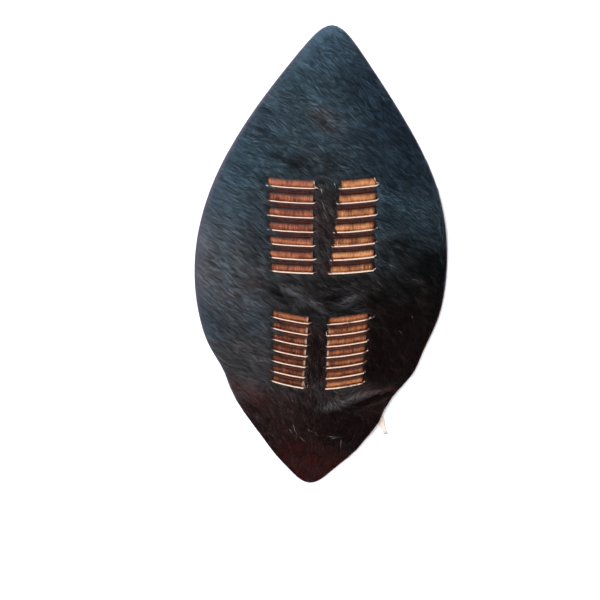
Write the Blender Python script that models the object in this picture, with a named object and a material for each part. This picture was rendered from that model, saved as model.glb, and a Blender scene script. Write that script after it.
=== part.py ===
# Hide shield, lying on its back with the haired face up.
# Metres, +Z up, +Y towards the top tip, +X to the right of someone who looks at the front.
# The origin is on the floor, under the middle of the shield.
# The hide is one domed piece of rawhide with rows of cuts in two columns. Each column has an
# upper and a lower block of cuts, and each block is laced with one flat leather strip that goes
# over one bar of hide and under the next.

import math
from collections import namedtuple

import bmesh
import bpy

# Outline of the hide
LENGTH = 0.624
WIDTH = 0.301
TIP_RADIUS = 0.015
TIP_REACH = 0.035
HALF_LENGTH = LENGTH / 2
HALF_WIDTH = WIDTH / 2

# Places where the hand-cut outline runs in (plus) or swells (minus) from the even curve
Pinch = namedtuple("Pinch", "place depth reach")
PINCHES = {
    -1: (Pinch(-0.138, 0.0068, 0.030), Pinch(-0.267, -0.0020, 0.022)),
    1: (
        Pinch(0.130, -0.0038, 0.080),
        Pinch(-0.090, 0.0042, 0.035),
        Pinch(-0.163, 0.0088, 0.026),
        Pinch(-0.190, 0.0038, 0.013),
        Pinch(-0.256, -0.0045, 0.022),
    ),
}

# Dome of the dried hide
CROWN = 0.042
CROWN_POWER_TOP = 2.4
CROWN_POWER_SIDE = 1.7
FOLD_PLACE = -0.172
FOLD_SOFTNESS = 0.020
FOLD_SHARE = 0.55
FOLD_SAG = 0.030
HIDE_THICKNESS = 0.0032

# Stretches where the dried rim has lifted off the floor
Lift = namedtuple("Lift", "side place height reach")
LIFTS = (
    Lift(1, -0.207, 0.0040, 0.028),
    Lift(-1, -0.150, 0.0026, 0.028),
    Lift(-1, 0.175, 0.0022, 0.045),
    Lift(1, 0.085, 0.0018, 0.040),
)

# A block of cuts: place of its topmost cut, rows of lacing that show, distance from row to row,
# height of a bar that shows, and width of an opened cut along the shield
Block = namedtuple("Block", "top rows pitch bar_height cut_width")
UPPER = Block(0.1495, 7, 0.0174, 0.0064, 0.0026)
LOWER = Block(-0.0250, 7, 0.0159, 0.0058, 0.0025)
ROW_SOFTNESS = 0.012

# The upper and lower panel on each side. The strip's edges are distances from the middle line at
# the top and bottom of the block, and climb is how much the rows rise towards the rim.
Panel = namedtuple("Panel", "inner_top outer_top inner_bottom outer_bottom climb")
PANELS = {
    -1: (
        Panel(0.0125, 0.0640, 0.0080, 0.0570, -0.090),
        Panel(0.0105, 0.0535, 0.0130, 0.0520, 0.085),
    ),
    1: (
        Panel(0.0175, 0.0562, 0.0100, 0.0600, 0.060),
        Panel(0.0120, 0.0590, 0.0135, 0.0575, 0.120),
    ),
}
CUT_ROOM_INNER = 0.0045
CUT_ROOM_OUTER = 0.0036

# Lacing strips
STRIP_THICKNESS = 0.0019
CLEARANCE = 0.0005
STRIP_BULGE = 0.0005
BULGE_PLACE = 0.65
EASE_UNDER = 0.0009
EASE_OVER = 0.0002
LIP_FOLLOW = 0.8
STRIP_SPLITS = 3

# Bars of hide between the cuts, as heights over the plain hide around them
BAR_RISE = 0.0026
BAR_DROP = 0.0020
LIP_RISE = 0.0008
BAR_ARCH = 0.0005
MARGIN = 0.009

# Ends of the strips behind the hide
END_SHARE = 0.80
END_WIDTH_SHARE = 0.45

# The long tail of the lower right strip: its middle line and its width along it
TAIL_TURNS = ((0.049, -0.161), (0.074, -0.184), (0.0870, -0.203), (0.0945, -0.2225))
TAIL_WIDTHS = (0.030, 0.016, 0.0105, 0.0065)
TAIL_STATIONS = 14
TAIL_GAP = 0.0012
TAIL_EASE = 0.004
FLOOR_GAP = 0.0003

# Density of the sheets away from the lacing
TIP_ROWS = 14
TIP_CROWDING = 1.9
WAIST_ROWS = 3
FLANK_SPLITS = 3
SQUEEZE_FROM = 0.106
SLOPE_STEP = 0.0005
MERGE_DISTANCE = 1e-6

Finish = namedtuple("Finish", "colour roughness")
BLACK_HIDE = Finish((0.012, 0.012, 0.013, 1.0), 0.75)
BROWN_LEATHER = Finish((0.30, 0.125, 0.055, 1.0), 0.55)


def clear_scene():
    for old in list(bpy.data.objects):
        bpy.data.objects.remove(old)


def make_material(name, finish):
    material = bpy.data.materials.new(name)
    material.use_nodes = True
    shader = material.node_tree.nodes["Principled BSDF"]
    shader.inputs["Base Color"].default_value = finish.colour
    shader.inputs["Roughness"].default_value = finish.roughness
    shader.inputs["Metallic"].default_value = 0.0
    return material


def smooth_step(share):
    share = min(1.0, max(0.0, share))
    return share * share * (3 - 2 * share)


def bell(distance, reach):
    return math.exp(-((distance / reach) ** 2))


def blend(start, end, share):
    return start + (end - start) * share


# Half of the width at a place along the shield: a parabola with rounded tips
def half_width(y, side):
    belly = max(0.0, HALF_WIDTH * (1 - (y / HALF_LENGTH) ** 2))
    inside = max(0.0, HALF_LENGTH - abs(y))
    tip_squared = 2 * TIP_RADIUS * inside * math.exp(-inside / TIP_REACH)
    width = math.sqrt(belly**2 + tip_squared)
    for pinch in PINCHES[side]:
        width -= pinch.depth * bell(y - pinch.place, pinch.reach) * smooth_step(inside / TIP_REACH)
    return width


# How far out a point is: 0 on the middle line, 1 on the rim
def outward_share(x, y):
    width = half_width(y, 1 if x >= 0 else -1)
    return min(1.0, abs(x) / width) if width > 0 else 1.0


def soft_ramp(distance):
    return (distance + math.hypot(distance, FOLD_SOFTNESS)) / 2


# Height of the ridge along the middle, which sinks to both tips and faster past the fold
def ridge(y):
    folded = soft_ramp(FOLD_PLACE - y) / soft_ramp(FOLD_PLACE + HALF_LENGTH)
    if y >= 0:
        sunk = (y / HALF_LENGTH) ** CROWN_POWER_TOP + FOLD_SHARE * folded
    else:
        sunk = (1 - FOLD_SHARE) * (y / HALF_LENGTH) ** 2 + FOLD_SHARE * folded
    return CROWN * max(0.0, 1 - sunk)


# Height of the underside of the plain hide above the floor
def underside(x, y):
    outward = outward_share(x, y)
    sag = FOLD_SAG * outward**2 * smooth_step(-y / HALF_LENGTH)
    height = ridge(y - sag) * (1 - outward**CROWN_POWER_SIDE)
    for lift in LIFTS:
        if lift.side * x > 0:
            height += lift.height * bell(y - lift.place, lift.reach) * outward**2
    return height


def block_end(block):
    return block.top - block.rows * block.pitch + block.bar_height


WAIST_TOP = block_end(UPPER)
LACING_END = block_end(LOWER)


# 0 in the upper block of cuts, 1 in the lower one
def lower_share(v):
    return smooth_step((WAIST_TOP - v) / (WAIST_TOP - LOWER.top))


# How much a row climbs outwards, fading out towards the tips
def row_climb(x, v):
    upper, lower = PANELS[1 if x >= 0 else -1]
    past = max(v - UPPER.top, LACING_END - v, 0.0)
    fade = 1 - smooth_step(past / (HALF_LENGTH - UPPER.top))
    return blend(upper.climb, lower.climb, lower_share(v)) * fade


# The point of the sheet at column x and row v, lifted square to the plain underside.
# Towards the rim the lift turns upright, so that the rim is a plain vertical wall.
def sheet_point(x, v, lift):
    climb = row_climb(x, v) * (math.hypot(x, ROW_SOFTNESS) - ROW_SOFTNESS)
    y = v + climb * (1 - outward_share(x, v) ** 4)
    upright = 1 - outward_share(x, y) ** 4
    slope_x = (underside(x + SLOPE_STEP, y) - underside(x - SLOPE_STEP, y)) / (2 * SLOPE_STEP)
    slope_y = (underside(x, y + SLOPE_STEP) - underside(x, y - SLOPE_STEP)) / (2 * SLOPE_STEP)
    lean_x = -slope_x * upright
    lean_y = -slope_y * upright
    scale = lift / math.sqrt(1 + lean_x**2 + lean_y**2)
    return x + lean_x * scale, y + lean_y * scale, underside(x, y) + scale


# The four edges of one row: upper cut, then the bar behind the strip, then lower cut
def row_lines(block, row):
    top = block.top - row * block.pitch
    bottom = top - block.pitch + block.bar_height
    return top, top - block.cut_width, bottom + block.cut_width, bottom


# Distances of a strip's inner and outer edge from the middle line, at any row of the sheet
def strip_edges(v, side):
    upper, lower = PANELS[side]
    if v > LOWER.top:
        down = min(1.0, max(0.0, (UPPER.top - v) / (UPPER.top - WAIST_TOP)))
        waist = lower_share(v)
        inner = blend(blend(upper.inner_top, upper.inner_bottom, down), lower.inner_top, waist)
        outer = blend(blend(upper.outer_top, upper.outer_bottom, down), lower.outer_top, waist)
    else:
        down = min(1.0, (LOWER.top - v) / (LOWER.top - LACING_END))
        inner = blend(lower.inner_top, lower.inner_bottom, down)
        outer = blend(lower.outer_top, lower.outer_bottom, down)
    return inner, outer


def strip_splits(v, side):
    inner, outer = strip_edges(v, side)
    return [blend(inner, outer, k / STRIP_SPLITS) for k in range(STRIP_SPLITS + 1)]


# All columns of the hide at row v, from the left rim to the right rim
def hide_columns(v):
    halves = {}
    for side in (-1, 1):
        splits = strip_splits(v, side)
        cuts = [splits[0] - CUT_ROOM_INNER, *splits, splits[-1] + CUT_ROOM_OUTER]
        rim = half_width(v, side)
        squeeze = min(1.0, rim / SQUEEZE_FROM)
        inside = [cut * squeeze for cut in cuts]
        flank = [blend(inside[-1], rim, k / FLANK_SPLITS) for k in range(1, FLANK_SPLITS + 1)]
        halves[side] = [side * x for x in inside + flank]
    return halves[-1][::-1] + halves[1]


# For each column of the hide, how far a raised bar arches there; None beyond the strip
def column_arches():
    arches = [BAR_ARCH * math.sin(math.pi * k / STRIP_SPLITS) for k in range(STRIP_SPLITS + 1)]
    half = [None, *arches, None] + [None] * FLANK_SPLITS
    return half[::-1] + half


# Rows from a place towards a tip, closer together near the tip
def tip_rows(start, tip):
    shares = [1 - (1 - k / TIP_ROWS) ** TIP_CROWDING for k in range(1, TIP_ROWS + 1)]
    return [(blend(start, tip, share), 0.0) for share in shares]


# Rows of the hide from the top tip to the bottom tip, each with the rise of the bar there
def hide_rows():
    rows = tip_rows(UPPER.top + MARGIN, HALF_LENGTH)[::-1]
    for block in (UPPER, LOWER):
        rows.append((block.top + MARGIN, 0.0))
        for row in range(block.rows):
            upper, behind_top, behind_bottom, lip = row_lines(block, row)
            rows.append((upper, BAR_RISE))
            rows.append((behind_top, -BAR_DROP))
            rows.append((behind_bottom, -BAR_DROP))
            rows.append((lip, BAR_RISE + LIP_RISE))
        rows.append((block_end(block) - MARGIN, 0.0))
        if block is UPPER:
            start, end = WAIST_TOP - MARGIN, LOWER.top + MARGIN
            rows.extend((blend(start, end, k / WAIST_ROWS), 0.0) for k in range(1, WAIST_ROWS))
    return rows + tip_rows(LACING_END - MARGIN, -HALF_LENGTH)


# One closed solid between two grids of points of the same layout, without the skipped cells.
# The lines of a grid run towards -Y and the points of a line towards +X.
def solid_between(name, lower, upper, skip, material):
    shape = bmesh.new()
    low = [[shape.verts.new(point) for point in line] for line in lower]
    high = [[shape.verts.new(point) for point in line] for line in upper]
    rings = []
    for row in range(len(lower) - 1):
        for column in range(len(lower[row]) - 1):
            if not skip(row, column):
                below, right = row + 1, column + 1
                rings.append([(row, column), (below, column), (below, right), (row, right)])
    sides = {(ring[k - 1], ring[k]) for ring in rings for k in range(4)}
    for ring in rings:
        shape.faces.new([high[r][c] for r, c in ring])
        shape.faces.new([low[r][c] for r, c in reversed(ring)])
    for (r0, c0), (r1, c1) in sorted(sides):
        if ((r1, c1), (r0, c0)) not in sides:
            shape.faces.new((high[r1][c1], high[r0][c0], low[r0][c0], low[r1][c1]))
    bmesh.ops.remove_doubles(shape, verts=shape.verts, dist=MERGE_DISTANCE)
    loose = [corner for corner in shape.verts if not corner.link_faces]
    bmesh.ops.delete(shape, geom=loose, context="VERTS")
    mesh = bpy.data.meshes.new(name)
    shape.to_mesh(mesh)
    shape.free()
    mesh.materials.append(material)
    piece = bpy.data.objects.new(name, mesh)
    bpy.context.scene.collection.objects.link(piece)


# Lift of a column of the hide in a row: raised bars arch, lowered bars and the rest don't
def bar_lift(rise, arch):
    if arch is None:
        return 0.0
    return rise + arch if rise > 0 else rise


def make_hide(material):
    rows = hide_rows()
    arches = column_arches()
    lower, upper = [], []
    for v, rise in rows:
        lifts = [bar_lift(rise, arch) for arch in arches]
        columns = hide_columns(v)
        lower.append([sheet_point(x, v, lift) for x, lift in zip(columns, lifts)])
        upper.append([sheet_point(x, v, lift + HIDE_THICKNESS) for x, lift in zip(columns, lifts)])

    def is_cut(row, column):
        crossing = rows[row][1] * rows[row + 1][1] < 0
        return crossing and (arches[column] is not None or arches[column + 1] is not None)

    solid_between("hide", lower, upper, is_cut, material)


# A strip's underside behind the hide, past the last cut of a block
def end_stations(block, upward):
    start = block.top if upward else block_end(block)
    step = 1 if upward else -1
    reach = END_SHARE * (WAIST_TOP - LOWER.top) / 2
    stations = []
    for past in (MARGIN / 2, MARGIN, blend(MARGIN, reach, 0.5), reach):
        rise = BAR_RISE * (1 - min(1.0, past / MARGIN))
        width_share = blend(1.0, END_WIDTH_SHARE, smooth_step((past - MARGIN) / (reach - MARGIN)))
        height = rise - STRIP_THICKNESS - 2 * CLEARANCE
        stations.append((start + step * past, height, width_share))
    return stations


# The line of a strip's underside over and under the bars: place, height, share of the width
def strip_stations(block):
    behind_bar = BAR_RISE - CLEARANCE - STRIP_THICKNESS
    before_bar = -BAR_DROP + HIDE_THICKNESS + CLEARANCE
    stations = end_stations(block, True)[::-1]
    for row in range(block.rows):
        upper, behind_top, behind_bottom, lip = row_lines(block, row)
        stations.append((upper - EASE_UNDER, behind_bar, 1.0))
        stations.append((behind_top + EASE_OVER, before_bar, 1.0))
        stations.append((blend(behind_top, behind_bottom, BULGE_PLACE), before_bar + STRIP_BULGE, 1.0))
        stations.append((behind_bottom - EASE_OVER, before_bar, 1.0))
        stations.append((lip + EASE_UNDER, behind_bar + LIP_FOLLOW * LIP_RISE, 1.0))
    return stations + end_stations(block, False)


# The line at an even thickness over the line of stations, mitred at its bends
def thickened(stations):
    headings = []
    for (v0, n0, _), (v1, n1, _) in zip(stations, stations[1:]):
        headings.append(math.atan2(n1 - n0, v0 - v1))
    raised = []
    for k, (v, n, share) in enumerate(stations):
        before = headings[max(0, k - 1)]
        after = headings[min(k, len(headings) - 1)]
        heading = (before + after) / 2
        reach = STRIP_THICKNESS / math.cos((after - before) / 2)
        raised.append((v + reach * math.sin(heading), n + reach * math.cos(heading), share))
    return raised


# A line of points across a strip at a station, with the columns of the hide at a row
def strip_line(row, side, station):
    v, height, share = station
    splits = strip_splits(row, side)
    middle = (splits[0] + splits[-1]) / 2
    columns = sorted(side * blend(middle, x, share) for x in splits)
    return [sheet_point(x, v, height) for x in columns]


# A point on a smooth curve through the knots, at a share of the way
def along_knots(knots, share):
    spans = len(knots) - 1
    span = min(spans - 1, int(share * spans))
    t = share * spans - span
    before = knots[max(0, span - 1)]
    after = knots[min(spans, span + 2)]
    point = []
    for a, b, c, d in zip(before, knots[span], knots[span + 1], after):
        bend = (2 * a - 5 * b + 4 * c - d) * t**2 + (3 * b - a - 3 * c + d) * t**3
        point.append(b + ((c - a) * t + bend) / 2)
    return point


# Height of the tail's underside: behind the hide, and on the floor once it is past the rim
def tail_height(x, y):
    under_hide = underside(x, y) - TAIL_GAP - STRIP_THICKNESS
    past_rim = smooth_step((abs(x) - half_width(y, 1)) / TAIL_EASE)
    return max(FLOOR_GAP, blend(under_hide, FLOOR_GAP, past_rim))


# The tail from the end of the lacing down and outwards, as lines across it
def tail_lines(start_line, raise_by):
    left, right = start_line[0], start_line[-1]
    start = ((left[0] + right[0]) / 2, (left[1] + right[1]) / 2, right[0] - left[0])
    knots = [start] + [(*turn, width) for turn, width in zip(TAIL_TURNS, TAIL_WIDTHS)]
    lines = []
    for station in range(1, TAIL_STATIONS + 1):
        share = station / TAIL_STATIONS
        x, y, across = along_knots(knots, share)
        near_x, near_y, _ = along_knots(knots, share - 1 / (4 * TAIL_STATIONS))
        heading = math.atan2(y - near_y, x - near_x)
        line = []
        for k in range(STRIP_SPLITS + 1):
            off = across * (k / STRIP_SPLITS - 0.5)
            px = x - off * math.sin(heading)
            py = y + off * math.cos(heading)
            line.append((px, py, tail_height(px, py) + raise_by))
        lines.append(line)
    return lines


def make_strip(name, block, side, has_tail, material):
    stations = strip_stations(block)
    lower = [strip_line(under[0], side, under) for under in stations]
    upper = [strip_line(under[0], side, over) for under, over in zip(stations, thickened(stations))]
    if has_tail:
        kept = len(stations) - 2
        upper = upper[:kept] + tail_lines(lower[kept - 1], STRIP_THICKNESS)
        lower = lower[:kept] + tail_lines(lower[kept - 1], 0.0)
    solid_between(name, lower, upper, lambda row, column: False, material)


def build():
    clear_scene()
    black_hide = make_material("black_hide", BLACK_HIDE)
    brown_leather = make_material("brown_leather", BROWN_LEATHER)
    make_hide(black_hide)
    make_strip("lacing_upper_left", UPPER, -1, False, brown_leather)
    make_strip("lacing_upper_right", UPPER, 1, False, brown_leather)
    make_strip("lacing_lower_left", LOWER, -1, False, brown_leather)
    make_strip("lacing_lower_right", LOWER, 1, True, brown_leather)


build()
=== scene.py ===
# Looks of the hide shield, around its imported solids.
# Metres. The shield lies on its back: +Z comes out of the haired face, +Y points to the top tip.
import math

import bpy
import numpy as np
from mathutils import Matrix, Vector
from mathutils.bvhtree import BVHTree
from mathutils.kdtree import KDTree


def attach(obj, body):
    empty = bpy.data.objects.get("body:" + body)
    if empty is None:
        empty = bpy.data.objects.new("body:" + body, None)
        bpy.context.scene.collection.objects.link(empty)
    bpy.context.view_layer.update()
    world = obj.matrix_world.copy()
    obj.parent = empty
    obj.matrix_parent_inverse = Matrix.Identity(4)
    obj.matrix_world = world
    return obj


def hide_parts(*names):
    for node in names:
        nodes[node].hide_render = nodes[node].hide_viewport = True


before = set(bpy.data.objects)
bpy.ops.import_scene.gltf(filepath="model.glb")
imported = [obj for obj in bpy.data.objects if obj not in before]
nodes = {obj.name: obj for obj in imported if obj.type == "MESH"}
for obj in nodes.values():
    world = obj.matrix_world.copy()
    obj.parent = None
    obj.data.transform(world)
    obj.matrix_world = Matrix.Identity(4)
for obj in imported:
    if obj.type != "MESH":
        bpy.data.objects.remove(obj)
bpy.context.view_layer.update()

mm = 0.001
stripNames = ("lacing_upper_left", "lacing_upper_right", "lacing_lower_left", "lacing_lower_right")


def linear(hexColour, alpha=1.0):  # sRGB hex to linear
    channels = [int(hexColour[k:k + 2], 16) / 255 for k in (1, 3, 5)]
    return (*[c / 12.92 if c <= 0.04045 else ((c + 0.055) / 1.055) ** 2.4 for c in channels], alpha)


def setInputs(tree, node, **inputs):  # links and plain values; i0 is the first socket, and _ stands for a space
    for key, value in inputs.items():
        socket = node.inputs[int(key[1:]) if key[0] == "i" and key[1:].isdigit() else key.replace("_", " ")]
        if isinstance(value, bpy.types.NodeSocket):
            tree.links.new(value, socket)
        else:
            socket.default_value = value


def addNode(tree, kind, settings=None, **inputs):  # one node with its settings and links
    node = tree.nodes.new(kind)
    for key, value in (settings or {}).items():
        setattr(node, key, value)
    setInputs(tree, node, **inputs)
    return node


colourMix = {"data_type": "RGBA"}
multiplyMix = {"data_type": "RGBA", "blend_type": "MULTIPLY"}
timesPlus = {"operation": "MULTIPLY_ADD"}
clampedTimesPlus = {"operation": "MULTIPLY_ADD", "use_clamp": True}


def setRamp(node, stops):  # each stop is a place and a hex colour or a grey
    elements = node.color_ramp.elements
    while len(elements) < len(stops):
        elements.new(1.0)
    for element, (place, colour) in zip(elements, stops):
        element.position = place
        element.color = linear(colour) if isinstance(colour, str) else (colour, colour, colour, 1)
    return node.outputs["Color"]


def newMaterial(name):
    material = bpy.data.materials.new(name)
    material.use_nodes = True
    return material, material.node_tree, material.node_tree.nodes["Principled BSDF"]


def selectOnly(piece):
    bpy.ops.object.select_all(action="DESELECT")
    piece.select_set(True)
    bpy.context.view_layer.objects.active = piece


def copyOfNode(node, name):  # the solid's mesh, its loose triangles merged
    piece = nodes[node].copy()
    piece.data = nodes[node].data.copy()
    piece.name = piece.data.name = name
    piece.parent = None
    for key in list(piece.keys()):
        del piece[key]
    bpy.context.scene.collection.objects.link(piece)
    piece.data.materials.clear()
    selectOnly(piece)
    bpy.ops.object.mode_set(mode="EDIT")
    bpy.ops.mesh.select_all(action="SELECT")
    bpy.ops.mesh.remove_doubles(threshold=1e-5)
    bpy.ops.object.mode_set(mode="OBJECT")
    return piece


def cutFiner(piece, cuts):
    selectOnly(piece)
    bpy.ops.object.mode_set(mode="EDIT")
    bpy.ops.mesh.select_all(action="SELECT")
    bpy.ops.mesh.subdivide(number_cuts=cuts, smoothness=0)
    bpy.ops.object.mode_set(mode="OBJECT")


def numbersOf(items, key, width=1, kind=np.float32):  # one property of every item, a row each
    flat = np.empty(len(items) * width, kind)
    items.foreach_get(key, flat)
    return flat.reshape(-1, width) if width > 1 else flat


def pointsOf(mesh):
    return numbersOf(mesh.vertices, "co", 3).astype(float)


def setPoints(mesh, points):
    mesh.vertices.foreach_set("co", points.astype(np.float32).ravel())
    mesh.update()


def setAttributes(mesh, **attributes):  # one number for each point
    for key, values in attributes.items():
        mesh.attributes.new(key, "FLOAT", "POINT").data.foreach_set("value", values.astype(np.float32))


def facesOf(mesh):
    mesh.calc_loop_triangles()
    return numbersOf(mesh.loop_triangles, "vertices", 3, np.int32)


def smoothStep(low, high, value):
    share = np.clip((value - low) / (high - low), 0, 1)
    return share * share * (3 - 2 * share)


def waves(x, y, seed, size, octaves=3):  # soft noise from -1 to 1, with features about size across
    random = np.random.default_rng(seed)
    total = np.zeros_like(x)
    for octave in range(octaves):
        part = np.zeros_like(x)
        for _ in range(7):
            turn, phase = random.uniform(0, 2 * math.pi, 2)
            rate = 2 * math.pi / size * 2 ** octave * random.uniform(0.6, 1.3)
            part += np.sin((x * math.cos(turn) + y * math.sin(turn)) * rate + phase)
        total += part / 3.2 / 1.8 ** octave
    return total / 1.8


# maps of the shield's face, seen from above
mapping = {"step": 0.75 * mm, "lowX": -0.156, "lowY": -0.318, "columns": 417, "rows": 849, "barReach": 9 * mm}


def mapFace():
    corners, triangles, owners = [], [], []
    for kind, name in enumerate(("hide", *stripNames), 1):
        mesh = nodes[name].data
        faces = facesOf(mesh) + len(corners)
        corners += [tuple(p) for p in pointsOf(mesh)]
        triangles += faces.tolist()
        owners += [kind] * len(faces)
    tree = BVHTree.FromPolygons(corners, triangles)
    height = np.zeros((mapping["rows"], mapping["columns"]))
    kinds = np.zeros((mapping["rows"], mapping["columns"]), int)
    down = Vector((0, 0, -1))
    for row in range(mapping["rows"]):
        y = mapping["lowY"] + row * mapping["step"]
        for column in range(mapping["columns"]):
            x = mapping["lowX"] + column * mapping["step"]
            hit, _, index, _ = tree.ray_cast(Vector((x, y, 0.2)), down)
            if hit is not None:
                height[row, column] = hit.z
                kinds[row, column] = owners[index]
    return height, kinds


def softened(field, cells):  # a box blur, twice
    width = 2 * cells + 1
    for _ in range(2):
        for axis in (0, 1):
            margins = [(cells, cells) if a == axis else (0, 0) for a in (0, 1)]
            total = np.cumsum(np.insert(np.pad(field, margins, mode="edge"), 0, 0, axis), axis)
            size = total.shape[axis]
            field = (np.take(total, range(width, size), axis) - np.take(total, range(size - width), axis)) / width
    return field


def cellsAt(x, y):
    column = np.clip(np.rint((x - mapping["lowX"]) / mapping["step"]).astype(int), 0, mapping["columns"] - 1)
    row = np.clip(np.rint((y - mapping["lowY"]) / mapping["step"]).astype(int), 0, mapping["rows"] - 1)
    return row, column


def heightAt(field, x, y):
    c = np.clip((x - mapping["lowX"]) / mapping["step"], 0, mapping["columns"] - 1.001)
    r = np.clip((y - mapping["lowY"]) / mapping["step"], 0, mapping["rows"] - 1.001)
    c0, r0 = c.astype(int), r.astype(int)
    c, r = c - c0, r - r0
    low = field[r0, c0] * (1 - c) + field[r0, c0 + 1] * c
    high = field[r0 + 1, c0] * (1 - c) + field[r0 + 1, c0 + 1] * c
    return low * (1 - r) + high * r


heightMap, kindMap = mapFace()
rimLeft = np.full(mapping["rows"], 0.0)
rimRight = np.full(mapping["rows"], 0.0)
for line in range(mapping["rows"]):
    inside = np.flatnonzero(kindMap[line] == 1)
    if len(inside):
        rimLeft[line] = mapping["lowX"] + inside[0] * mapping["step"]
        rimRight[line] = mapping["lowX"] + inside[-1] * mapping["step"]
mapYs = mapping["lowY"] + np.arange(mapping["rows"]) * mapping["step"]
mapXs = mapping["lowX"] + np.arange(mapping["columns"]) * mapping["step"]
# the open ends of the cuts take the height of the hide beside them
openCells = (kindMap == 0) & (mapXs > rimLeft[:, None]) & (mapXs < rimRight[:, None])
around = [np.roll(np.roll(heightMap, up, 0), right, 1) for up in range(-3, 4) for right in (-2, 0, 2)]
heightMap = np.where(openCells, np.max(around, axis=0), heightMap)
plainMap = softened(heightMap, 6)
slopeY, slopeX = np.gradient(plainMap, mapping["step"])


def outward(x, y):  # 0 on the middle line, 1 on the rim
    left, right = np.interp(y, mapYs, rimLeft), np.interp(y, mapYs, rimRight)
    reach = np.where(x < 0, -left, right)
    return np.where(reach > 1e-4, np.abs(x) / np.maximum(reach, 1e-4), 9.0)


def domeNormal(x, y):
    r, c = cellsAt(x, y)
    normal = np.stack([-slopeX[r, c], -slopeY[r, c], np.ones(len(x))], 1)
    return normal / np.linalg.norm(normal, axis=1, keepdims=True)


def kindNear(r, c, up, right=0):  # what lies some cells away: 0 nothing, 1 hide, 2 or more a strip
    return kindMap[np.clip(r + up, 0, mapping["rows"] - 1), np.clip(c + right, 0, mapping["columns"] - 1)]


def barShare(x, y):  # on a bar that shows, between two rows of a strip
    r, c = cellsAt(x, y)
    above = np.zeros(len(x), bool)
    below = np.zeros(len(x), bool)
    for k in range(1, int(mapping["barReach"] / mapping["step"])):
        above |= kindNear(r, c, k) > 1
        below |= kindNear(r, c, -k) > 1
    return above & below


def rubbedBare(x, y):  # a bar's lower edge, worn to brown skin by the strip under it, most in the lower blocks
    r, c = cellsAt(x, y)
    bare = np.zeros(len(x), bool)
    for k in range(1, 6):
        bare |= (kindNear(r, c, -k) > 1) & (k <= np.where(y > 0, 2, 5))
    return bare & barShare(x, y)


print("maps of the face are made")


# the lie and colour of the coat, which the skin under it shares
softRim = [
    np.convolve(np.pad(rim, 12, mode="edge"), np.ones(25) / 25, mode="valid") for rim in (rimLeft, rimRight)
]
coat = {
    "seed": 7,
    "tuftEvery": 7.0 * mm,     # tufts of a short dry coat
    "tuftLong": 2.2,           # how much longer than wide a tuft is
    "tuftEdge": (1.6 * mm, 4.5 * mm),  # from its middle line, where its hair gets lower, and darker as painted shade
    "tuftTurn": 0.11, "tuftTone": 0.12,  # how much the tufts differ
    "hairTurn": 0.1, "hairTone": 0.1,  # and the hairs in one tuft
    "lengths": (0.8, 1.35),
    "clump": 0.35,             # how far a hair leans to its tuft's tip
    "flat": 0.6,               # thickness as a share of width
    "lockEvery": 2.2 * mm,     # bent locks lie under the single hairs
    "lockWidth": 0.85 * mm,
    "hairEvery": 0.92 * mm,
    "hairWidth": 0.42 * mm,
    "rooted": 0.35 * mm,       # how deep a root is in the skin
    "overhang": 3.0 * mm,      # most that hair reaches over a strip
    "rimRoots": 0.997, "rimKeep": 0.996,  # how far out roots and tips lie, as a share of the half width
    "sideFrom": 0.05, "topFrom": 0.150, "bottomFrom": -0.138,  # where the coat's pieces meet
    # the pale end of each ramp and its navy and slate hues are partly painted sheen of the light on the black hair;
    # maroon is the hair's own colour
    "dark": [(0.0, "#060c17"), (0.5, "#080f13"), (0.75, "#040303"), (1.0, "#1b0503")],
    "pale": [(0.0, "#3a5268"), (0.5, "#596e78"), (0.75, "#625d5c"), (1.0, "#602217")],
}
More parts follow.
